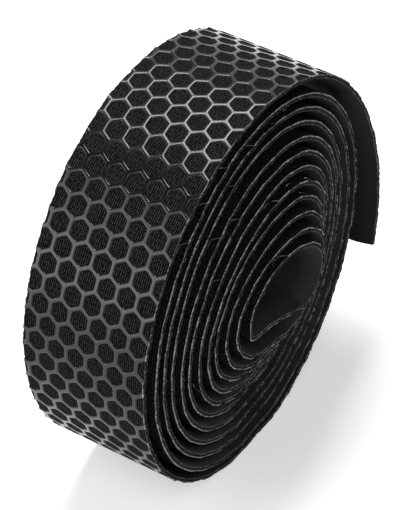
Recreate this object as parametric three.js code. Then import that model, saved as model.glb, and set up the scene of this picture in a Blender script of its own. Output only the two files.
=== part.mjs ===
// Handlebar tape roll: one padded strip wound on itself, with a honeycomb of raised ribs on its outer face.
// Millimetres, +Z up. The roll stands on its tread, its axis runs along Y, and -Y is the side that the
// inner turns stand out of. The origin is the middle of the small flat spot that the roll rests on.

import * as THREE from 'three';

// Section of the strip
const tapeWidth = 30;
const tapeThickness = 2.65;
const edgeThickness = 1.05;
const bevelWidth = 5;

// Winding: clockwise from the inner end, as seen from -Y, with directions turned from +X towards +Z
const turnGap = 0.3;
const boreRadius = 12.6;
const woundTurns = 11.58;
const innerEndDirection = -49;
const flapDrop = 5.5;
const flapSweep = 161.5;
const flapBend = 1.5;
const ovalShare = 0.01;
const ovalDirection = 45;

// Loose outer end, which hangs down off the roll
const tailReach = 6.2;
const tailDrop = 24;
const tailLift = 48.5;
const tailHang = 31;
const tailCurl = 0.26;

// How the turns lie: the inner ones stand out, the edges wander a little, and the weight flattens the base
const telescope = 8.1;
const telescopeFade = 2.65;
const turnLean = 1.7;
const leanStart = 15.6;
const leanDrift = 20;
const edgeWander = 0.22;
const quickWander = 0.83;
const slowWander = 0.37;
const wanderPhase = 1.1;
const flatSpotDepth = 0.7;

// Honeycomb ribs on the outer face
const ribHeight = 0.35;
const ribBase = 1.3;
const cellAcross = 4.83;
const rowSpacing = 4.43;
const edgeToCell = 4.64;
const endToRow = 1.82;
const ribbedTurns = 1.14;
const pressedLength = 9.2;

// Fineness of the model
const stepsPerTurn = 24;
const samplesPerTurn = 360;
const tailSamples = 60;
const tailSteps = 9;
const shortestStep = 0.5;

const radians = Math.PI / 180;
const turn = 2 * Math.PI;
const quarterTurn = Math.PI / 2;
const turnPitch = tapeThickness + turnGap;
const halfWidth = tapeWidth / 2;
const woundAngle = woundTurns * turn;
const regularStart = flapSweep * radians;

// Direction from the axis at a winding angle
function directionAt(angle) {
  return innerEndDirection * radians - angle;
}

// Radius of the evenly wound, slightly oval outer face at a winding angle
function evenRadius(angle) {
  const roundRadius = boreRadius + turnPitch * (angle - regularStart) / turn;
  return roundRadius * (1 + ovalShare * Math.cos(2 * (directionAt(angle) - ovalDirection * radians)));
}

// Winding angle at which a turn crosses straight below the axis, nearest to the given one
function bottomAngle(angle) {
  const first = innerEndDirection * radians + quarterTurn;
  return first + turn * Math.round((angle - first) / turn);
}

const lastBottom = bottomAngle(woundAngle - turn / 2);
const axisHeight = evenRadius(lastBottom) - flatSpotDepth;

// The flap is the straight inner end of the strip, which cuts across the bore below the axis
function flapRadius(angle) {
  const lean = Math.cos(directionAt(angle) + quarterTurn);
  const even = evenRadius(angle);
  if (lean <= 0) {
    return even;
  }
  const chord = flapDrop / lean;
  const near = Math.min(even, chord);
  const spare = Math.abs(even - chord);
  return near - flapBend * Math.log(1 + Math.exp(-spare / flapBend));
}

// Every turn is flattened by the same depth where it passes below the axis
function woundRadius(angle) {
  if (angle < regularStart) {
    return flapRadius(angle);
  }
  const bottom = bottomAngle(angle);
  const lean = Math.cos(angle - bottom);
  const level = evenRadius(bottom) - flatSpotDepth;
  return lean > 0 ? Math.min(evenRadius(angle), level / lean) : evenRadius(angle);
}

function woundPoint(angle) {
  const direction = directionAt(angle);
  const radius = woundRadius(angle);
  return new THREE.Vector2(radius * Math.cos(direction), axisHeight + radius * Math.sin(direction));
}

// The tail leaves the roll along its tangent and ends hanging almost straight down
function tailCurve() {
  const leave = woundPoint(woundAngle);
  const direction = directionAt(woundAngle);
  const along = new THREE.Vector2(Math.sin(direction), -Math.cos(direction));
  const end = new THREE.Vector2(evenRadius(woundAngle) + tailReach, axisHeight - tailDrop);
  const up = new THREE.Vector2(tailCurl, 1).normalize();
  return new THREE.CubicBezierCurve(
    leave,
    leave.clone().addScaledVector(along, tailLift),
    end.clone().addScaledVector(up, tailHang),
    end
  );
}

// The whole path of the outer face, sampled with the winding angle and the length so far
function samplePath() {
  const samples = [];
  const woundSamples = Math.ceil(woundTurns * samplesPerTurn);
  for (let i = 0; i <= woundSamples; i++) {
    const angle = woundAngle * i / woundSamples;
    samples.push({ angle, point: woundPoint(angle), length: 0 });
  }
  const tail = tailCurve();
  for (let i = 1; i <= tailSamples; i++) {
    const point = tail.getPoint(i / tailSamples);
    samples.push({ angle: woundAngle, point, length: 0 });
  }
  for (let i = 1; i < samples.length; i++) {
    const step = samples[i].point.distanceTo(samples[i - 1].point);
    samples[i].length = samples[i - 1].length + step;
  }
  for (const sample of samples.slice(woundSamples + 1)) {
    const direction = Math.atan2(sample.point.y - axisHeight, sample.point.x);
    const past = directionAt(woundAngle) - direction;
    sample.angle = woundAngle + THREE.MathUtils.euclideanModulo(past, turn);
  }
  return samples;
}

const path = samplePath();
const tapeLength = path[path.length - 1].length;

// Index of the sample that starts the stretch holding a value of one of the samples' fields
function stretchAt(field, value) {
  let low = 0;
  let high = path.length - 2;
  while (low < high) {
    const middle = Math.ceil((low + high) / 2);
    if (path[middle][field] <= value) {
      low = middle;
    } else {
      high = middle - 1;
    }
  }
  return low;
}

function lengthAtAngle(angle) {
  const i = stretchAt('angle', angle);
  const share = (angle - path[i].angle) / (path[i + 1].angle - path[i].angle);
  return THREE.MathUtils.lerp(path[i].length, path[i + 1].length, share);
}

// Direction of travel at a sample, from its neighbours
function tangentAt(i) {
  const before = path[Math.max(i - 1, 0)].point;
  const after = path[Math.min(i + 1, path.length - 1)].point;
  return after.clone().sub(before).normalize();
}

// How far a place on the strip is shifted along the axis: inner turns stand out, and each turn leans a little
function standingOut(angle) {
  const unwound = 1 - Math.min(angle / woundAngle, 1);
  const wander = Math.sin(angle * quickWander + wanderPhase) + Math.sin(angle * slowWander);
  const lean = Math.cos(directionAt(angle) - leanStart * radians - leanDrift * radians * angle / turn);
  return edgeWander * wander - telescope * unwound ** telescopeFade - turnLean * lean;
}

// The shift along the axis, measured from the place that the roll rests on
function sideShift(angle) {
  return standingOut(angle) - standingOut(lastBottom);
}

// Winds a point of the flat strip: length along it, place across it, and height above its outer face
function wind(length, across, height) {
  const i = stretchAt('length', length);
  const share = (length - path[i].length) / (path[i + 1].length - path[i].length);
  const place = path[i].point.clone().lerp(path[i + 1].point, share);
  const tangent = tangentAt(i).lerp(tangentAt(i + 1), share).normalize();
  const angle = THREE.MathUtils.lerp(path[i].angle, path[i + 1].angle, share);
  const x = place.x - tangent.y * height;
  const z = place.y + tangent.x * height;
  return [x, across + sideShift(angle), z];
}

// Collects triangles between points of the flat strip
class StripMesh {
  constructor() {
    this.positions = [];
    this.indices = [];
    this.known = new Map();
  }

  vertex(point) {
    const key = point.map((value) => value.toFixed(5)).join(' ');
    if (!this.known.has(key)) {
      this.known.set(key, this.positions.length / 3);
      this.positions.push(...wind(...point));
    }
    return this.known.get(key);
  }

  triangle(a, b, c) {
    const corners = [this.vertex(a), this.vertex(b), this.vertex(c)];
    if (new Set(corners).size === 3) {
      this.indices.push(...corners);
    }
  }

  polygon(points) {
    for (let i = 1; i < points.length - 1; i++) {
      this.triangle(points[0], points[i], points[i + 1]);
    }
  }

  // Fills the band between two rows of points that run the same way, measured along one coordinate
  band(lower, upper, coordinate) {
    let i = 0;
    let j = 0;
    while (i < lower.length - 1 || j < upper.length - 1) {
      const lowerNext = i < lower.length - 1 ? lower[i + 1][coordinate] : Infinity;
      const upperNext = j < upper.length - 1 ? upper[j + 1][coordinate] : Infinity;
      if (lowerNext < upperNext) {
        this.triangle(lower[i], lower[i + 1], upper[j]);
        i++;
      } else {
        this.triangle(lower[i], upper[j + 1], upper[j]);
        j++;
      }
    }
  }

  geometry() {
    const geometry = new THREE.BufferGeometry();
    geometry.setAttribute('position', new THREE.Float32BufferAttribute(this.positions, 3));
    geometry.setIndex(this.indices);
    geometry.computeVertexNormals();
    return geometry;
  }
}

// Keeps the part of a flat convex polygon below a limit where the sign is 1, and above it where it is -1
function clip(polygon, coordinate, limit, sign) {
  const kept = [];
  polygon.forEach((point, i) => {
    const next = polygon[(i + 1) % polygon.length];
    const inside = sign * (limit - point[coordinate]) >= 0;
    const nextInside = sign * (limit - next[coordinate]) >= 0;
    if (inside) {
      kept.push(point);
    }
    if (inside !== nextInside) {
      kept.push(crossing(point, next, coordinate, limit));
    }
  });
  return kept;
}

// The point where an edge meets a limit, worked out the same way from either end
function crossing(a, b, coordinate, limit) {
  const [from, to] = a[coordinate] < b[coordinate] ? [a, b] : [b, a];
  const share = (limit - from[coordinate]) / (to[coordinate] - from[coordinate]);
  const point = from.map((value, k) => value + (to[k] - value) * share);
  point[coordinate] = limit;
  return point;
}

// Corners of one cell of the honeycomb, as shares of its row spacing and width, or of its smaller floor
function cellCorners(length, across, height, size) {
  const corners = [
    [-1 / 3, -1 / 2],
    [1 / 3, -1 / 2],
    [2 / 3, 0],
    [1 / 3, 1 / 2],
    [-1 / 3, 1 / 2],
    [-2 / 3, 0]
  ];
  return corners.map(([u, v]) => [
    length + u * rowSpacing * size,
    across + v * cellAcross * size,
    height
  ]);
}

// The ribs under the outer turns are hidden, so only the outer end of the strip has them
const ribbedStart = steppedLength(path[path.length - 1].angle - ribbedTurns * turn);
const bottomLength = lengthAtAngle(lastBottom);

// Length at the step line nearest to a winding angle
function steppedLength(angle) {
  return lengthAtAngle(stepAngle(Math.round(stepCount(angle))));
}

function stepCount(angle) {
  return (angle - bottomAngle(0)) * stepsPerTurn / turn;
}

function stepAngle(count) {
  return bottomAngle(0) + count * turn / stepsPerTurn;
}

// Floors and rib sides of every cell on the outermost turn, cut to the strip's outline
function ribbedPolygons() {
  const floorSize = 1 - ribBase / cellAcross;
  const rows = Math.ceil((tapeLength - ribbedStart) / rowSpacing) + 1;
  const columns = Math.ceil(tapeWidth / cellAcross) + 1;
  const polygons = [];
  for (let row = -1; row <= rows; row++) {
    const length = tapeLength - endToRow - row * rowSpacing;
    const offset = row % 2 === 0 ? 0 : cellAcross / 2;
    for (let column = -1; column <= columns; column++) {
      const across = edgeToCell - halfWidth - offset + column * cellAcross;
      polygons.push(...cellPolygons(length, across, floorSize));
    }
  }
  return polygons.map(cutToOutline).filter((polygon) => polygon.length > 2);
}

// Cells under the middle of the roll's weight are pressed level, and make the flat spot's bearing face
function cellPolygons(length, across, floorSize) {
  const pressed = Math.abs(length - bottomLength) < pressedLength / 2;
  const depth = pressed ? 0 : -ribHeight;
  const rim = cellCorners(length, across, 0, 1);
  const floor = cellCorners(length, across, depth, floorSize);
  const sides = rim.map((corner, i) => {
    const next = (i + 1) % rim.length;
    return [corner, rim[next], floor[next], floor[i]];
  });
  return [floor, ...sides];
}

function cutToOutline(polygon) {
  let cut = clip(polygon, 0, ribbedStart, -1);
  cut = clip(cut, 0, tapeLength, 1);
  cut = clip(cut, 1, -halfWidth, -1);
  return clip(cut, 1, halfWidth, 1);
}

// Points of the polygons that lie on one limit, in order along the other coordinate
function rimPoints(polygons, coordinate, limit) {
  const along = 1 - coordinate;
  const points = new Map();
  for (const point of polygons.flat()) {
    if (point[coordinate] === limit) {
      points.set(point[along].toFixed(5), point);
    }
  }
  return [...points.values()].sort((a, b) => a[along] - b[along]);
}

// Lengths at which the smooth faces of the strip have their step lines
function stepLengths() {
  const lengths = [0];
  const last = Math.floor(stepCount(woundAngle));
  for (let count = Math.ceil(stepCount(0)); count <= last; count++) {
    const length = lengthAtAngle(stepAngle(count));
    if (length > shortestStep) {
      lengths.push(length);
    }
  }
  const tailStart = lengths[lengths.length - 1];
  for (let i = 1; i <= tailSteps; i++) {
    lengths.push(THREE.MathUtils.lerp(tailStart, tapeLength, i / tailSteps));
  }
  return lengths;
}

// Outline of the back: both thin edges, the bevels, and the full thickness between them
const backSection = [
  [-halfWidth, -edgeThickness],
  [-halfWidth + bevelWidth, -tapeThickness],
  [halfWidth - bevelWidth, -tapeThickness],
  [halfWidth, -edgeThickness]
];

function row(lengths, across, height) {
  return lengths.map((length) => [length, across, height]);
}

function buildTape() {
  const mesh = new StripMesh();
  const lengths = stepLengths();
  const plain = lengths.filter((length) => length <= ribbedStart);
  const ribbed = lengths.filter((length) => length >= ribbedStart);
  const polygons = ribbedPolygons();
  polygons.forEach((polygon) => mesh.polygon(polygon));
  const plainBefore = plain[plain.length - 2];
  const smooth = plain.slice(0, -1);
  mesh.band(row(smooth, -halfWidth, 0), row(smooth, halfWidth, 0), 0);
  const join = [[plainBefore, -halfWidth, 0], [plainBefore, halfWidth, 0]];
  mesh.band(rimPoints(polygons, 0, ribbedStart), join, 1);
  const front = [...row(smooth, -halfWidth, 0), ...rimPoints(polygons, 1, -halfWidth)];
  const rear = [...row(smooth, halfWidth, 0), ...rimPoints(polygons, 1, halfWidth)];
  mesh.band(row([...smooth, ...ribbed], ...backSection[0]), front, 0);
  mesh.band(rear, row([...smooth, ...ribbed], ...backSection[3]), 0);
  for (let i = 0; i < backSection.length - 1; i++) {
    const near = row([...smooth, ...ribbed], ...backSection[i]);
    const far = row([...smooth, ...ribbed], ...backSection[i + 1]);
    mesh.band(far, near, 0);
  }
  const startTop = [[0, -halfWidth, 0], [0, halfWidth, 0]];
  const startBack = backSection.map(([across, height]) => [0, across, height]);
  mesh.band(startTop, startBack, 1);
  const endBack = backSection.map(([across, height]) => [tapeLength, across, height]);
  mesh.band(endBack, rimPoints(polygons, 0, tapeLength), 1);
  return mesh.geometry();
}

function tapeMaterial() {
  return new THREE.MeshStandardMaterial({ color: 0x1b1b1d, roughness: 0.55, metalness: 0 });
}

const tape = new THREE.Mesh(buildTape(), tapeMaterial());
tape.name = 'tape';

const group = new THREE.Group();
group.add(tape);

export default group;
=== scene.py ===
"""Handlebar tape roll: the finished look of the one wound strip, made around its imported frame.

The strip is modelled flat first, in millimetres: the length along it, the place across it and the
height above its outer face. It is then wound onto the same path as the solid in the frame.
"""

import math

import bpy
import numpy as np
from mathutils import Matrix, Quaternion, Vector


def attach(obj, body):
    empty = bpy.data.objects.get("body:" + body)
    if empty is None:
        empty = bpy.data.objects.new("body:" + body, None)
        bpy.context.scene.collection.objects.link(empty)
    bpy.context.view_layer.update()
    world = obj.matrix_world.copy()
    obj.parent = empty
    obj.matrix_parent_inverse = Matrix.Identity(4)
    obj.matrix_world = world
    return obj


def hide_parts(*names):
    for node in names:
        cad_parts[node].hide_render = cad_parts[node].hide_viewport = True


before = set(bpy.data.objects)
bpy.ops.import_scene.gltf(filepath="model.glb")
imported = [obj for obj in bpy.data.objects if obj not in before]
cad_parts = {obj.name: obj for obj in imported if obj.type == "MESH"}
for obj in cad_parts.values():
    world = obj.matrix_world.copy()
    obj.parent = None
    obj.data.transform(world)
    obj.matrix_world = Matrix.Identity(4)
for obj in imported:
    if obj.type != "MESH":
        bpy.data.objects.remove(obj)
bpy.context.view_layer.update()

MM = 0.001
TURN = 2 * math.pi

# Section of the strip
TAPE_WIDTH = 30.0
TAPE_THICKNESS = 2.65
EDGE_THICKNESS = 1.05
BEVEL_WIDTH = 5.0
HALF_WIDTH = TAPE_WIDTH / 2

# Winding, as in the frame's solid
TURN_GAP = 0.3
TURN_PITCH = TAPE_THICKNESS + TURN_GAP
BORE_RADIUS = 12.6
WOUND_ANGLE = 11.58 * TURN
INNER_END_DIRECTION = math.radians(-49)
REGULAR_START = math.radians(161.5)
FLAP_DROP = 5.5
FLAP_BEND = 1.5
FLAT_SPOT_DEPTH = 0.7
OVAL_SHARE = 0.01
OVAL_DIRECTION = math.radians(45)

# Loose outer end
TAIL_REACH = 6.2
TAIL_DROP = 24.0
TAIL_LIFT = 48.5
TAIL_HANG = 31.0
TAIL_CURL = 0.26

# How the turns lie
TELESCOPE = 8.1
TELESCOPE_FADE = 2.65
TURN_LEAN = 1.7
LEAN_START = math.radians(15.6)
LEAN_DRIFT = 1 / 18
EDGE_WANDER = 0.22
QUICK_WANDER = 0.83
SLOW_WANDER = 0.37
WANDER_PHASE = 1.1

# Honeycomb
CELL_ACROSS = 4.83
ROW_SPACING = 4.43
EDGE_TO_CELL = 4.64
END_TO_ROW = 1.82
CORNER_ROUNDING = 0.16
FLOOR_HEIGHT = -0.28
PRESSED_FLOOR = -0.22
STANDING_SHARE = 0.14
FLOOR_RISE = 0.05
ROUNDING_REACH = 0.4
CUT_MARGIN = 3

# Distance from the middle of a rib and height above it, from the rib's crown to the cell's floor
FINE_RIB = ((0.0, 0.0), (0.24, -0.006), (0.34, -0.03), (0.4, -0.08), (0.45, -0.16),
            (0.56, FLOOR_HEIGHT))
PRESSED_RIB = ((0.0, 0.0), (0.24, -0.008), (0.38, -0.05), (0.46, -0.15), (0.52, PRESSED_FLOOR))

# Where a cell's sides have their points, as shares of a side from its first corner
FINE_STEPS = (0.0, 0.12, 0.88)
PRESSED_STEPS = (0.0, 0.5)

# Cut edges and back: their rows of points in the section, and the spacing of points along a row
RIM = HALF_WIDTH - 0.12
LIP = RIM + 0.02
EDGE_HEIGHTS = (-0.42, -0.6, -0.78, -0.94)
BEVEL_SHARES = (0.05, 0.3, 0.65, 0.88, 1.0, 1.25)
EDGE_STEP = 0.42
BACK_STEP = 1.5

# How the cut edges are frayed
WAVER_REACH = 1.2
WAVER_SPACING = 2.3
WAVER_DEPTH = 0.12
TORN_SPACING = 0.55
TORN_DEPTH = 0.2
TORN_MARGIN = 0.05
TORN_STRETCH = 0.999
TORN_ROWS_PER_MM = 50
TORN_ROW_SHIFT = 7.31
TORN_SHIFT_RANGE = 40
LIFT_START = 11
LIFT_SPACING = 1.7
LIFT_HEIGHT = 0.08

# Seeds of the random draws
FRONT_SEED, REAR_SEED, TORN_SEED, LIFT_SEED, CELL_SEED = 1, 2, 3, 4, 5

# Where the strip is divided into pieces: the turn that the middle piece starts on, and the length
# of the outer piece
MIDDLE_TURNS_START = 6.4
OUTER_TURN_LENGTH = 327.0

WELD_DECIMALS = 4
SHARP_ANGLE = math.radians(35)
SMALLEST_COSINE = 1e-6
RIB, CELL, EDGE, BACK = range(4)


def direction_at(angle):
    """Direction from the axis at a winding angle, from +X towards +Z."""
    return INNER_END_DIRECTION - angle


def even_radius(angle):
    """Radius of the evenly wound, slightly oval outer face."""
    round_radius = BORE_RADIUS + TURN_PITCH * (angle - REGULAR_START) / TURN
    return round_radius * (1 + OVAL_SHARE * np.cos(2 * (direction_at(angle) - OVAL_DIRECTION)))


def bottom_angle(angle):
    """Winding angle at which a turn crosses straight below the axis, nearest to the given one."""
    first = INNER_END_DIRECTION + math.pi / 2
    return first + TURN * np.round((angle - first) / TURN)


LAST_BOTTOM = bottom_angle(WOUND_ANGLE - TURN / 2)
AXIS_HEIGHT = even_radius(LAST_BOTTOM) - FLAT_SPOT_DEPTH


def wound_radius(angle):
    """Radius of the outer face: the straight flap, then the even spiral with its flattened base."""
    even = even_radius(angle)
    lean = np.cos(direction_at(angle) + math.pi / 2)
    chord = FLAP_DROP / np.maximum(lean, SMALLEST_COSINE)
    bend = FLAP_BEND * np.log(1 + np.exp(-np.abs(even - chord) / FLAP_BEND))
    flap = np.minimum(even, chord) - bend
    bottom = bottom_angle(angle)
    level = even_radius(bottom) - FLAT_SPOT_DEPTH
    regular = np.minimum(even, level / np.maximum(np.cos(angle - bottom), SMALLEST_COSINE))
    return np.where(angle < REGULAR_START, flap, regular)


def tail_points(samples):
    """The loose end leaves the roll along its tangent and ends hanging almost straight down."""
    direction = direction_at(WOUND_ANGLE)
    radius = even_radius(WOUND_ANGLE)
    leave = np.array([radius * math.cos(direction), AXIS_HEIGHT + radius * math.sin(direction)])
    along = np.array([math.sin(direction), -math.cos(direction)])
    end = np.array([radius + TAIL_REACH, AXIS_HEIGHT - TAIL_DROP])
    up = np.array([TAIL_CURL, 1]) / math.hypot(TAIL_CURL, 1)
    handles = [leave, leave + TAIL_LIFT * along, end + TAIL_HANG * up, end]
    t = (np.arange(1, samples + 1) / samples)[:, None]
    weights = [(1 - t) ** 3, 3 * (1 - t) ** 2 * t, 3 * (1 - t) * t ** 2, t ** 3]
    return sum(weight * handle for weight, handle in zip(weights, handles))


class Path:
    """Samples of the outer face's path: its points, winding angle, length so far and direction."""

    def __init__(self, samples_per_turn=360, tail_samples=60):
        steps = math.ceil(WOUND_ANGLE / TURN * samples_per_turn)
        angle = WOUND_ANGLE * np.arange(steps + 1) / steps
        direction, radius = direction_at(angle), wound_radius(angle)
        wound = np.stack([radius * np.cos(direction), AXIS_HEIGHT + radius * np.sin(direction)], 1)
        tail = tail_points(tail_samples)
        past = direction_at(WOUND_ANGLE) - np.arctan2(tail[:, 1] - AXIS_HEIGHT, tail[:, 0])
        self.angle = np.concatenate([angle, WOUND_ANGLE + past % TURN])
        self.points = np.concatenate([wound, tail])
        spans = np.hypot(*np.diff(self.points, axis=0).T)
        self.length = np.concatenate([[0], np.cumsum(spans)])
        tangent = np.gradient(self.points, self.length, axis=0)
        self.tangent = tangent / np.hypot(*tangent.T)[:, None]

    def at(self, values, length):
        return np.interp(length, self.length, values)


PATH = Path()
TAPE_LENGTH = PATH.length[-1]


def smooth_random(place, spacing, seed):
    """A smooth random line between -1 and 1, with a bend about every spacing along the place."""
    knots = np.random.default_rng(seed).uniform(-1, 1, int(TAPE_LENGTH / spacing) + 1)
    i = np.floor(place / spacing).astype(int)
    share = place / spacing - i
    share = share * share * (3 - 2 * share)
    return knots[i % len(knots)] * (1 - share) + knots[(i + 1) % len(knots)] * share


def standing_out(angle):
    """How far a place is shifted along the axis: inner turns stand out, and each turn leans."""
    unwound = 1 - np.minimum(angle / WOUND_ANGLE, 1)
    wander = np.sin(angle * QUICK_WANDER + WANDER_PHASE) + np.sin(angle * SLOW_WANDER)
    lean = np.cos(direction_at(angle) - LEAN_START - LEAN_DRIFT * angle)
    return EDGE_WANDER * wander - TELESCOPE * unwound ** TELESCOPE_FADE - TURN_LEAN * lean


def side_shift(angle):
    """The shift along the axis, measured from the place that the roll rests on."""
    return standing_out(angle) - standing_out(LAST_BOTTOM)


def wind(flat):
    """Winds points of the flat strip (length, across, height) onto the path, in millimetres."""
    length, across, height = flat.T
    x = PATH.at(PATH.points[:, 0], length)
    z = PATH.at(PATH.points[:, 1], length)
    along_x = PATH.at(PATH.tangent[:, 0], length)
    along_z = PATH.at(PATH.tangent[:, 1], length)
    size = np.hypot(along_x, along_z)
    y = across + side_shift(PATH.at(PATH.angle, length))
    return np.stack([x - along_z / size * height, y, z + along_x / size * height], 1)


def frayed(flat):
    """The cut edges waver, and their faces are torn a little unevenly."""
    length, across, height = flat.T
    near = np.clip((np.abs(across) - RIM + WAVER_REACH) / WAVER_REACH, 0, 1)
    front = across < 0
    waver = np.where(front, smooth_random(length, WAVER_SPACING, FRONT_SEED),
                     smooth_random(length, WAVER_SPACING, REAR_SEED))
    row_shift = np.round(height * TORN_ROWS_PER_MM) * TORN_ROW_SHIFT % TORN_SHIFT_RANGE
    torn = smooth_random(length * TORN_STRETCH + row_shift, TORN_SPACING, TORN_SEED)
    on_face = np.abs(across) > RIM + TORN_MARGIN
    outward = near * waver * WAVER_DEPTH + on_face * torn * TORN_DEPTH
    across = across + np.where(front, -1, 1) * outward
    lift = smooth_random(length + LIFT_START, LIFT_SPACING, LIFT_SEED) * near * LIFT_HEIGHT
    return np.stack([length, across, height + lift], 1)


def clip(polygon, axis, limit, sign):
    """Keeps the part of a convex polygon below a limit if the sign is 1, above it if it is -1."""
    kept = []
    for i, point in enumerate(polygon):
        following = polygon[(i + 1) % len(polygon)]
        inside = sign * (limit - point[axis]) >= 0
        if inside:
            kept.append(point)
        if inside != (sign * (limit - following[axis]) >= 0):
            low, high = sorted((point, following), key=lambda corner: corner[axis])
            share = (limit - low[axis]) / (high[axis] - low[axis])
            cut = [a + (b - a) * share for a, b in zip(low, high)]
            cut[axis] = limit
            kept.append(tuple(cut))
    return kept


def ring(distance, height, steps):
    """Points round a cell at a distance inside its border: along, across and height."""
    half = CELL_ACROSS / 2
    slant = math.hypot(half, ROW_SPACING / 3)
    across_share, along_share = half / slant, ROW_SPACING / 3 / slant
    reach = ROW_SPACING * 2 / 3 * across_share - distance
    side = (reach - (half - distance) * along_share) / across_share
    tip = reach / across_share
    corners = [(tip, 0), (side, half - distance), (-side, half - distance)]
    corners += [(-along, -across) for along, across in corners]
    pull = 1 - CORNER_ROUNDING * min(distance / ROUNDING_REACH, 1) / tip
    points = []
    for i, start in enumerate(corners):
        end = corners[(i + 1) % 6]
        for step in steps:
            scale = pull if step == 0 else 1
            along, across = (a + (b - a) * step for a, b in zip(start, end))
            points.append((along * scale, across * scale, height))
    return np.array(points)


def cell_faces(profile, steps):
    """The faces of one cell: bands over half of the rib, the wall below them, and the floor."""
    rings = [ring(distance, height, steps) for distance, height in profile]
    bands = []
    for outer, inner in zip(rings, rings[1:]):
        bands.append(np.stack([outer, np.roll(outer, -1, 0), np.roll(inner, -1, 0), inner], 1))
    floor = rings[-1]
    middle = np.broadcast_to([0, 0, profile[-1][1] + FLOOR_RISE], floor.shape)
    fan = np.stack([floor, np.roll(floor, -1, 0), middle], 1)
    return np.concatenate(bands[:-1]), bands[-1], fan


class Strip:
    """Collects the faces of a stretch of the flat strip, and makes one closed mesh of them."""

    def __init__(self, start, end):
        self.start, self.end = start, end
        self.corners, self.sizes, self.materials = [], [], []

    def add(self, faces, material):
        """Adds faces that all have the same number of corners."""
        faces = np.asarray(faces, float)
        if len(faces):
            self.corners.append(faces.reshape(-1, 3))
            self.sizes.append(np.full(len(faces), faces.shape[1]))
            self.materials.append(np.full(len(faces), material))

    def add_cut(self, faces, material):
        """Adds faces after cutting them to the strip's outline."""
        for face in faces:
            polygon = [tuple(corner) for corner in face]
            polygon = clip(polygon, 0, self.start, -1)
            polygon = clip(polygon, 0, self.end, 1)
            polygon = clip(polygon, 1, -RIM, -1)
            polygon = clip(polygon, 1, RIM, 1)
            keys = [tuple(np.round(corner, WELD_DECIMALS)) for corner in polygon]
            polygon = [p for i, p in enumerate(polygon) if keys[i] != keys[i - 1]]
            if len(polygon) > 2:
                self.add([polygon], material)

    def add_cells(self, profile, steps, standing_share):
        """Tiles the honeycomb. A share of the cells stands out, and the rest are pressed level."""
        rib, wall, fan = cell_faces(profile, steps)
        level = ring(0, 0, steps)[None]
        draw = np.random.default_rng(CELL_SEED)
        first = math.floor((TAPE_LENGTH - END_TO_ROW - self.end) / ROW_SPACING) - 1
        last = math.ceil((TAPE_LENGTH - END_TO_ROW - self.start) / ROW_SPACING) + 1
        for row in range(first, last + 1):
            along = TAPE_LENGTH - END_TO_ROW - row * ROW_SPACING
            offset = CELL_ACROSS / 2 if row % 2 else 0
            for column in range(-1, math.ceil(TAPE_WIDTH / CELL_ACROSS) + 2):
                across = EDGE_TO_CELL - HALF_WIDTH - offset + column * CELL_ACROSS
                place = (along, across, 0)
                whole = (self.start + CUT_MARGIN < along < self.end - CUT_MARGIN
                         and abs(across) < RIM - CELL_ACROSS / 2)
                put = self.add if whole else self.add_cut
                if draw.random() < standing_share:
                    put(rib + place, RIB)
                    # The walls take the dark back material: painted shade along the cell walls
                    put(wall + place, BACK)
                    put(fan + place, CELL)
                else:
                    put(level + place, CELL)

    def rim(self, axis, limit):
        """Points of the faces so far that lie on one limit, in order along the other coordinate."""
        corners = np.concatenate(self.corners)
        on_limit = corners[corners[:, axis] == limit]
        places = np.round(on_limit[:, 1 - axis], WELD_DECIMALS)
        return on_limit[np.unique(places, return_index=True)[1]]

    def add_band(self, lower, upper, axis, material):
        """Fills the band between two rows of points that run the same way along one coordinate."""
        faces = []
        i = j = 0
        while i < len(lower) - 1 or j < len(upper) - 1:
            lower_next = lower[i + 1][axis] if i < len(lower) - 1 else math.inf
            upper_next = upper[j + 1][axis] if j < len(upper) - 1 else math.inf
            if lower_next < upper_next:
                faces.append((lower[i], lower[i + 1], upper[j]))
                i += 1
            else:
                faces.append((lower[i], upper[j + 1], upper[j]))
                j += 1
        self.add(faces, material)

    def row(self, across, height, step):
        """A row of points along the strip at one place of its section."""
        count = max(2, round((self.end - self.start) / step))
        lengths = np.linspace(self.start, self.end, count)
        return np.stack([lengths, np.full_like(lengths, across), np.full_like(lengths, height)], 1)

    def close(self):
        """Adds both cut edges, the bevelled back and both ends."""
        front, rear = self.rim(1, -RIM), self.rim(1, RIM)
        start_rim, end_rim = self.rim(0, self.start), self.rim(0, self.end)
        start, end = [front[0]], [front[-1]]
        previous = front
        for across, height, step, material in back_section():
            following = self.row(across, height, step)
            self.add_band(following, previous, 0, material)
            previous = following
            start.append(following[0])
            end.append(following[-1])
        self.add_band(rear, previous, 0, EDGE)
        start.append(rear[0])
        end.append(rear[-1])
        self.add_band(start_rim, start, 1, EDGE)
        self.add_band(end, end_rim, 1, EDGE)

    def mesh(self, name):
        """Welds the faces and winds them. The mesh keeps the flat place as an attribute."""
        corners = np.concatenate(self.corners)
        sizes = np.concatenate(self.sizes)
        keys = np.round(corners * 10.0 ** WELD_DECIMALS).astype(np.int64)
        _, first, index = np.unique(keys, axis=0, return_index=True, return_inverse=True)
        flat = corners[first]
        index = index.reshape(-1)
        starts = np.concatenate([[0], np.cumsum(sizes)[:-1]])
        mesh = bpy.data.meshes.new(name)
        points = wind(frayed(flat)) * MM
        # The frayed edge stays above the surface that the roll stands on
        points[:, 2] = np.maximum(points[:, 2], 0)
        faces = [tuple(index[a:a + n]) for a, n in zip(starts.tolist(), sizes.tolist())]
        whole = [len(set(face)) == len(face) for face in faces]
        mesh.from_pydata(points.tolist(), [], [face for face, kept in zip(faces, whole) if kept])
        materials = np.concatenate(self.materials)[whole]
        mesh.polygons.foreach_set("material_index", materials.astype(np.int32))
        place = mesh.attributes.new("flat_place", "FLOAT_VECTOR", "POINT")
        place.data.foreach_set("vector", flat.astype(np.float32).ravel())
        mesh.shade_smooth()
        mesh.set_sharp_from_angle(angle=SHARP_ANGLE)
        return mesh


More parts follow.
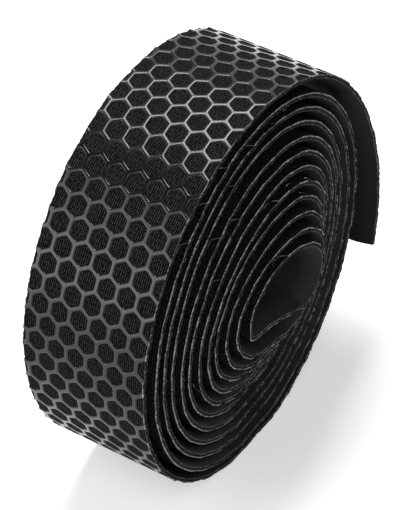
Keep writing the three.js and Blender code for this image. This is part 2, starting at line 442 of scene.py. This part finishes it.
def back_section():
    """The section's rows from the front rim round the back: across, height, step and material."""
    rows = [(-HALF_WIDTH, height, EDGE_STEP, EDGE) for height in EDGE_HEIGHTS]
    rows.append((-LIP, -EDGE_THICKNESS, EDGE_STEP, EDGE))
    inner = HALF_WIDTH - BEVEL_WIDTH
    for share in BEVEL_SHARES:
        slope = math.sin(min(share, 1) * math.pi / 2)
        drop = EDGE_THICKNESS + (TAPE_THICKNESS - EDGE_THICKNESS) * slope
        rows.append((-LIP + (LIP - inner) * share, -drop, BACK_STEP, BACK))
    mirrored = [(-across, height, step, EDGE if -across >= LIP else BACK)
                for across, height, step, _ in reversed(rows)]
    return rows + mirrored


# Sockets of a colour Mix node
MIX_A, MIX_B, MIX_RESULT = 6, 7, 2

# Tones are linear, dark before light
WHITE = (1, 1, 1, 1)
RIB_DARK = (0.004, 0.004, 0.005, 1)
RIB_LIGHT = (0.009, 0.009, 0.010, 1)
OPEN_CELL_TONES = (0.001, 0.044)
# The pressed cells' darker tones are painted shade on the inner turns' cells
PRESSED_CELL_SHADE_TONES = (0.001, 0.03)
STITCH_GROOVE = (0.001, 0.001, 0.001, 1)
# The back's tones by turn: lighter on the inner turns is painted light, darker on the outer turn
# and loose end is painted shade
INNER_BACK_PAINTED_LIGHT_TONES = (0.014, 0.03)
MIDDLE_BACK_TONES = (0.008, 0.018)
LOOSE_BACK_PAINTED_SHADE_TONES = (0.003, 0.009)
FABRIC_BLUE = 1.1

# The cut edge's tones from its outer side to its inner side, and where its tufts are worn off
EDGE_TONES = ((0.0, 0.75), (0.2, 0.55), (0.34, 0.015), (0.82, 0.02), (0.94, 0.3))
EDGE_TOP = 0.25
EDGE_BLUE = 1.04
EDGE_WORN = (0.012, 0.012, 0.013, 1)


def bluish(tone, blue):
    return (tone, tone, tone * blue, 1)


def node_maker(tree):
    """Gives a call that makes a shader node, sets its values and fills or links its inputs."""
    def make(kind, inputs=None, **values):
        node = tree.nodes.new(kind)
        for name, value in values.items():
            setattr(node, name, value)
        for name, value in (inputs or {}).items():
            if isinstance(value, bpy.types.NodeSocket):
                tree.links.new(value, node.inputs[name])
            else:
                node.inputs[name].default_value = value
        return node
    return make


def new_material(name):
    """A material, its node maker, and the strip's flat place, in millimetres, as a vector."""
    material = bpy.data.materials.new(name)
    material.use_nodes = True
    make = node_maker(material.node_tree)
    place = make("ShaderNodeAttribute", attribute_name="flat_place").outputs["Vector"]
    return material, make, place


def shader_of(material):
    return material.node_tree.nodes["Principled BSDF"]


def finish_material(material, colour, bump, roughness, specular):
    shader = shader_of(material)
    links = material.node_tree.links
    links.new(colour, shader.inputs["Base Color"])
    links.new(bump.outputs["Normal"], shader.inputs["Normal"])
    shader.inputs["Roughness"].default_value = roughness
    shader.inputs["Specular IOR Level"].default_value = specular
    return material


def rib_material():
    material, make, place = new_material("glossy_rib")
    grain = make("ShaderNodeTexNoise", {"Vector": place, "Scale": 6.0, "Detail": 3.0,
                                        "Roughness": 0.6})
    colour = make("ShaderNodeMix", {"Factor": grain.outputs["Fac"]}, data_type="RGBA")
    colour.inputs[MIX_A].default_value = RIB_DARK
    colour.inputs[MIX_B].default_value = RIB_LIGHT
    bump = make("ShaderNodeBump", {"Height": grain.outputs["Fac"], "Strength": 0.25,
                                   "Distance": 0.00006})
    return finish_material(material, colour.outputs[MIX_RESULT], bump, roughness=0.13, specular=0.5)


def cell_material(name, tones):
    """Knitted cloth: rows of long stitches, of which only some parts catch the light."""
    material, make, place = new_material(name)
    knit = make("ShaderNodeTexBrick", {"Vector": place, "Scale": 1.0, "Mortar Size": 0.17,
                                       "Mortar Smooth": 0.6, "Brick Width": 2.4,
                                       "Row Height": 0.5}, offset=0.5)
    noise = make("ShaderNodeTexNoise", {"Vector": place, "Scale": 3.2, "Detail": 2.0,
                                        "Roughness": 0.6})
    fleck = make("ShaderNodeMapRange", {"Value": noise.outputs["Fac"], "From Min": 0.36,
                                        "From Max": 0.57})
    shade = make("ShaderNodeMix", {"Factor": fleck.outputs["Result"]}, data_type="RGBA")
    for socket, tone in zip((MIX_A, MIX_B), tones):
        shade.inputs[socket].default_value = bluish(tone, FABRIC_BLUE)
    groove = make("ShaderNodeMix", {"Factor": knit.outputs["Fac"],
                                    MIX_A: shade.outputs[MIX_RESULT]}, data_type="RGBA")
    groove.inputs[MIX_B].default_value = STITCH_GROOVE
    lift = make("ShaderNodeMath", {0: 1.0, 1: knit.outputs["Fac"]}, operation="SUBTRACT")
    bump = make("ShaderNodeBump", {"Height": lift.outputs["Value"], "Strength": 0.8,
                                   "Distance": 0.0001})
    return finish_material(material, groove.outputs[MIX_RESULT], bump, roughness=0.8, specular=0.03)


def edge_material():
    """The cut edge: light along its outer side, dark below that, and worn away in places."""
    material, make, place = new_material("cut_edge")
    noise = make("ShaderNodeTexNoise", {"Vector": place, "Scale": 2.6, "Detail": 5.0,
                                        "Roughness": 0.75})
    height = make("ShaderNodeSeparateXYZ", {"Vector": place}).outputs["Z"]
    shaken = make("ShaderNodeMath", {0: noise.outputs["Fac"], 1: 0.5, 2: height},
                  operation="MULTIPLY_ADD")
    depth = make("ShaderNodeMapRange", {"Value": shaken.outputs["Value"], "From Min": EDGE_TOP,
                                        "From Max": EDGE_TOP - EDGE_THICKNESS})
    ramp = make("ShaderNodeValToRGB", {"Fac": depth.outputs["Result"]})
    elements = ramp.color_ramp.elements
    while len(elements) < len(EDGE_TONES):
        elements.new(0.5)
    for element, (position, tone) in zip(elements, EDGE_TONES):
        element.position = position
        element.color = bluish(tone, EDGE_BLUE)
    tufts = make("ShaderNodeTexNoise", {"Vector": place, "Scale": 1.9, "Detail": 5.0,
                                        "Roughness": 0.85})
    share = make("ShaderNodeMapRange", {"Value": tufts.outputs["Fac"], "From Min": 0.43,
                                        "From Max": 0.6, "To Min": 0.08, "To Max": 1.0})
    worn = make("ShaderNodeMix", {"Factor": share.outputs["Result"],
                                  MIX_B: ramp.outputs["Color"]}, data_type="RGBA")
    worn.inputs[MIX_A].default_value = EDGE_WORN
    bump = make("ShaderNodeBump", {"Height": noise.outputs["Fac"], "Strength": 0.8,
                                   "Distance": 0.0002})
    return finish_material(material, worn.outputs[MIX_RESULT], bump, roughness=0.85, specular=0.1)


def back_material(name, tones):
    """The strip's smooth back, slightly mottled."""
    material, make, place = new_material(name)
    noise = make("ShaderNodeTexNoise", {"Vector": place, "Scale": 1.2, "Detail": 6.0,
                                        "Roughness": 0.7})
    ramp = make("ShaderNodeValToRGB", {"Fac": noise.outputs["Fac"]})
    for element, position, tone in zip(ramp.color_ramp.elements, (0.3, 0.75), tones):
        element.position = position
        element.color = bluish(tone, FABRIC_BLUE)
    bump = make("ShaderNodeBump", {"Height": noise.outputs["Fac"], "Strength": 0.3,
                                   "Distance": 0.0001})
    return finish_material(material, ramp.outputs["Color"], bump, roughness=0.6, specular=0.12)


def add_piece(name, strip, materials):
    mesh = strip.mesh(name)
    for material in materials:
        mesh.materials.append(material)
    piece = bpy.data.objects.new(name, mesh)
    bpy.context.scene.collection.objects.link(piece)
    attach(piece, "root")
    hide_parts("tape")


def build_tape():
    """The one strip, as three pieces along its length. Only the outer one has all its cells."""
    rib, edge = rib_material(), edge_material()
    open_cell = cell_material("knitted_cell", OPEN_CELL_TONES)
    # The inner and middle turns' cells get darker tones: painted shade
    pressed_cell_painted_shade = cell_material("pressed_cell_painted_shade", PRESSED_CELL_SHADE_TONES)
    middle = np.interp(MIDDLE_TURNS_START * TURN, PATH.angle, PATH.length)
    outer = TAPE_LENGTH - OUTER_TURN_LENGTH
    # Backs painted lighter on the inner turns and darker on the outer turn and loose end: painted
    # light and shade
    smooth_back = back_material("smooth_back", MIDDLE_BACK_TONES)
    inner_back_painted_light = back_material("smooth_back_inside_painted_light", INNER_BACK_PAINTED_LIGHT_TONES)
    loose_back_painted_shade = back_material("smooth_back_outside_painted_shade", LOOSE_BACK_PAINTED_SHADE_TONES)
    pressed = (PRESSED_RIB, PRESSED_STEPS, STANDING_SHARE)
    standing = (FINE_RIB, FINE_STEPS, 1)
    for name, start, end, cells, cell, back in (
        ("tape_inner_turns", 0.0, middle, pressed, pressed_cell_painted_shade, inner_back_painted_light),
        ("tape_middle_turns", middle, outer, pressed, pressed_cell_painted_shade, smooth_back),
        ("tape_outer_turn", outer, TAPE_LENGTH, standing, open_cell, loose_back_painted_shade),
    ):
        strip = Strip(start, end)
        strip.add_cells(*cells)
        strip.close()
        add_piece(name, strip, [rib, cell, edge, back])


# Camera, as fitted on the photograph's perspective
CAMERA_AZIMUTH = math.radians(57.35)
CAMERA_ELEVATION = math.radians(40.49)
CAMERA_ROLL = math.radians(0.9)
CAMERA_DISTANCE = 0.565
CAMERA_LENS = 185.01
CAMERA_SENSOR = 36.0
CAMERA_CLIP = (0.01, 20)
AIM = Vector((0.00148, 0.00156, AXIS_HEIGHT * MM + 0.0005))


def add_camera():
    camera = bpy.data.objects.new("camera", bpy.data.cameras.new("camera"))
    bpy.context.scene.collection.objects.link(camera)
    flat = math.cos(CAMERA_ELEVATION)
    back = Vector((
        -math.sin(CAMERA_AZIMUTH) * flat,
        -math.cos(CAMERA_AZIMUTH) * flat,
        math.sin(CAMERA_ELEVATION),
    ))
    camera.location = AIM + back * CAMERA_DISTANCE
    camera.rotation_mode = "QUATERNION"
    level = (-back).to_track_quat("-Z", "Y")
    camera.rotation_quaternion = level @ Quaternion((0, 0, 1), CAMERA_ROLL)
    camera.data.lens = CAMERA_LENS
    camera.data.sensor_width = CAMERA_SENSOR
    camera.data.sensor_fit = "AUTO"
    camera.data.clip_start, camera.data.clip_end = CAMERA_CLIP
    bpy.context.scene.camera = camera


# Lights, whose edges show in the ribs as they do in the photograph
WORLD_GLOW = 0.09
BOX_CORNER = (-0.07, 0.288, 0.7)
BOX_TURN = math.radians(9.7)
BOX_SIZE = (0.8, 0.25)
BOX_RADIANCE = 10
WALL_CORNER = (-0.38, 0.75, 0.7)
WALL_SIDES = ((0, -0.6, 0), (-0.45, 0, -0.66))
WALL_RADIANCE = 2.5
FILL_CORNER = (-0.85, -0.5, 0.5)
FILL_SIDES = ((0.35, 0.35, 0.5), (0.35, -0.35, 0))
FILL_RADIANCE = 3
CARD_REACH = 1.6
CARD_HEIGHT = 1.1
CARD_TONE = 0.005
FLOOR_REACH = 3
FLOOR_TONE = 0.9

# The floor's white: its strength near the object and far from it, and the distances between
# which it grows, in metres
NEAR_WHITE, FAR_WHITE = 0.42, 1.0
WHITE_START, WHITE_END = 0.1, 0.45


def add_panel(name, corner, along, across, radiance):
    """A lit rectangle from one corner and its two sides, shining to the side of along x across."""
    along, across = Vector(along), Vector(across)
    light = bpy.data.lights.new(name, "AREA")
    light.shape = "RECTANGLE"
    light.size, light.size_y = along.length, across.length
    light.energy = radiance * math.pi * light.size * light.size_y
    lamp = bpy.data.objects.new(name, light)
    bpy.context.scene.collection.objects.link(lamp)
    x = along.normalized()
    z = -along.cross(across).normalized()
    y = z.cross(x)
    lamp.matrix_world = Matrix((x, y, z)).transposed().to_4x4()
    lamp.location = Vector(corner) + (along + across) / 2


def add_lights():
    """A bright box above, turned a little, a dimmer wall on the left, and a fill in front."""
    along = Vector((math.cos(BOX_TURN), math.sin(BOX_TURN), 0)) * BOX_SIZE[0]
    across = Vector((math.sin(BOX_TURN), -math.cos(BOX_TURN), 0)) * BOX_SIZE[1]
    add_panel("top_box", BOX_CORNER, along, across, BOX_RADIANCE)
    add_panel("left_wall", WALL_CORNER, *WALL_SIDES, WALL_RADIANCE)
    add_panel("front_fill", FILL_CORNER, *FILL_SIDES, FILL_RADIANCE)


def seen_rays(make):
    """One for rays that see the background: straight, reflected, or through something clear."""
    rays = make("ShaderNodeLightPath").outputs
    glassy = make("ShaderNodeMath", {0: rays["Is Glossy Ray"], 1: rays["Is Transmission Ray"]},
                  operation="MAXIMUM")
    seen = make("ShaderNodeMath", {0: rays["Is Camera Ray"], 1: glassy.outputs["Value"]},
                operation="MAXIMUM")
    return seen.outputs["Value"]


def add_world():
    """White where it is seen, and a weak even light on the object."""
    world = bpy.data.worlds.new("studio")
    bpy.context.scene.world = world
    world.use_nodes = True
    tree = world.node_tree
    tree.nodes.clear()
    make = node_maker(tree)
    plain = make("ShaderNodeBackground", {"Color": WHITE, "Strength": WORLD_GLOW})
    white = make("ShaderNodeBackground", {"Color": WHITE, "Strength": 1.0})
    mix = make("ShaderNodeMixShader", {0: seen_rays(make), 1: plain.outputs["Background"],
                                       2: white.outputs["Background"]})
    make("ShaderNodeOutputWorld", {"Surface": mix.outputs["Shader"]})


def add_sheet(name, reach, height, tone):
    """A level square of one plain matt tone, which belongs to the studio, and its material."""
    mesh = bpy.data.meshes.new(name)
    corners = [(-reach, -reach), (reach, -reach), (reach, reach), (-reach, reach)]
    mesh.from_pydata([(x, y, height) for x, y in corners], [], [(0, 1, 2, 3)])
    sheet = bpy.data.objects.new(name, mesh)
    bpy.context.scene.collection.objects.link(sheet)
    material = bpy.data.materials.new(name)
    material.use_nodes = True
    shader = shader_of(material)
    shader.inputs["Base Color"].default_value = (tone, tone, tone, 1)
    shader.inputs["Roughness"].default_value = 1.0
    shader.inputs["Specular IOR Level"].default_value = 0.0
    mesh.materials.append(material)
    return sheet, material


def add_dark_card():
    """A dark sheet over the lights that only reflections see, so that the ribs show light edges."""
    card, _ = add_sheet("dark_card", CARD_REACH, CARD_HEIGHT, CARD_TONE)
    card.visible_camera = False
    card.visible_diffuse = False
    card.visible_shadow = False


def add_floor():
    """A pale floor that keeps the shadow and turns to plain white away from the object."""
    _, material = add_sheet("floor", FLOOR_REACH, 0, FLOOR_TONE)
    make = node_maker(material.node_tree)
    place = make("ShaderNodeNewGeometry").outputs["Position"]
    away = make("ShaderNodeVectorMath", {0: place}, operation="LENGTH")
    white = make("ShaderNodeMapRange", {"Value": away.outputs["Value"], "From Min": WHITE_START,
                                        "From Max": WHITE_END, "To Min": NEAR_WHITE,
                                        "To Max": FAR_WHITE})
    glow = make("ShaderNodeMath", {0: seen_rays(make), 1: white.outputs["Result"]},
                operation="MULTIPLY")
    shader = shader_of(material)
    material.node_tree.links.new(glow.outputs["Value"], shader.inputs["Emission Strength"])
    shader.inputs["Emission Color"].default_value = WHITE


add_camera()
build_tape()
add_world()
add_floor()
add_dark_card()
add_lights()
bpy.context.scene.view_settings.view_transform = "Standard"
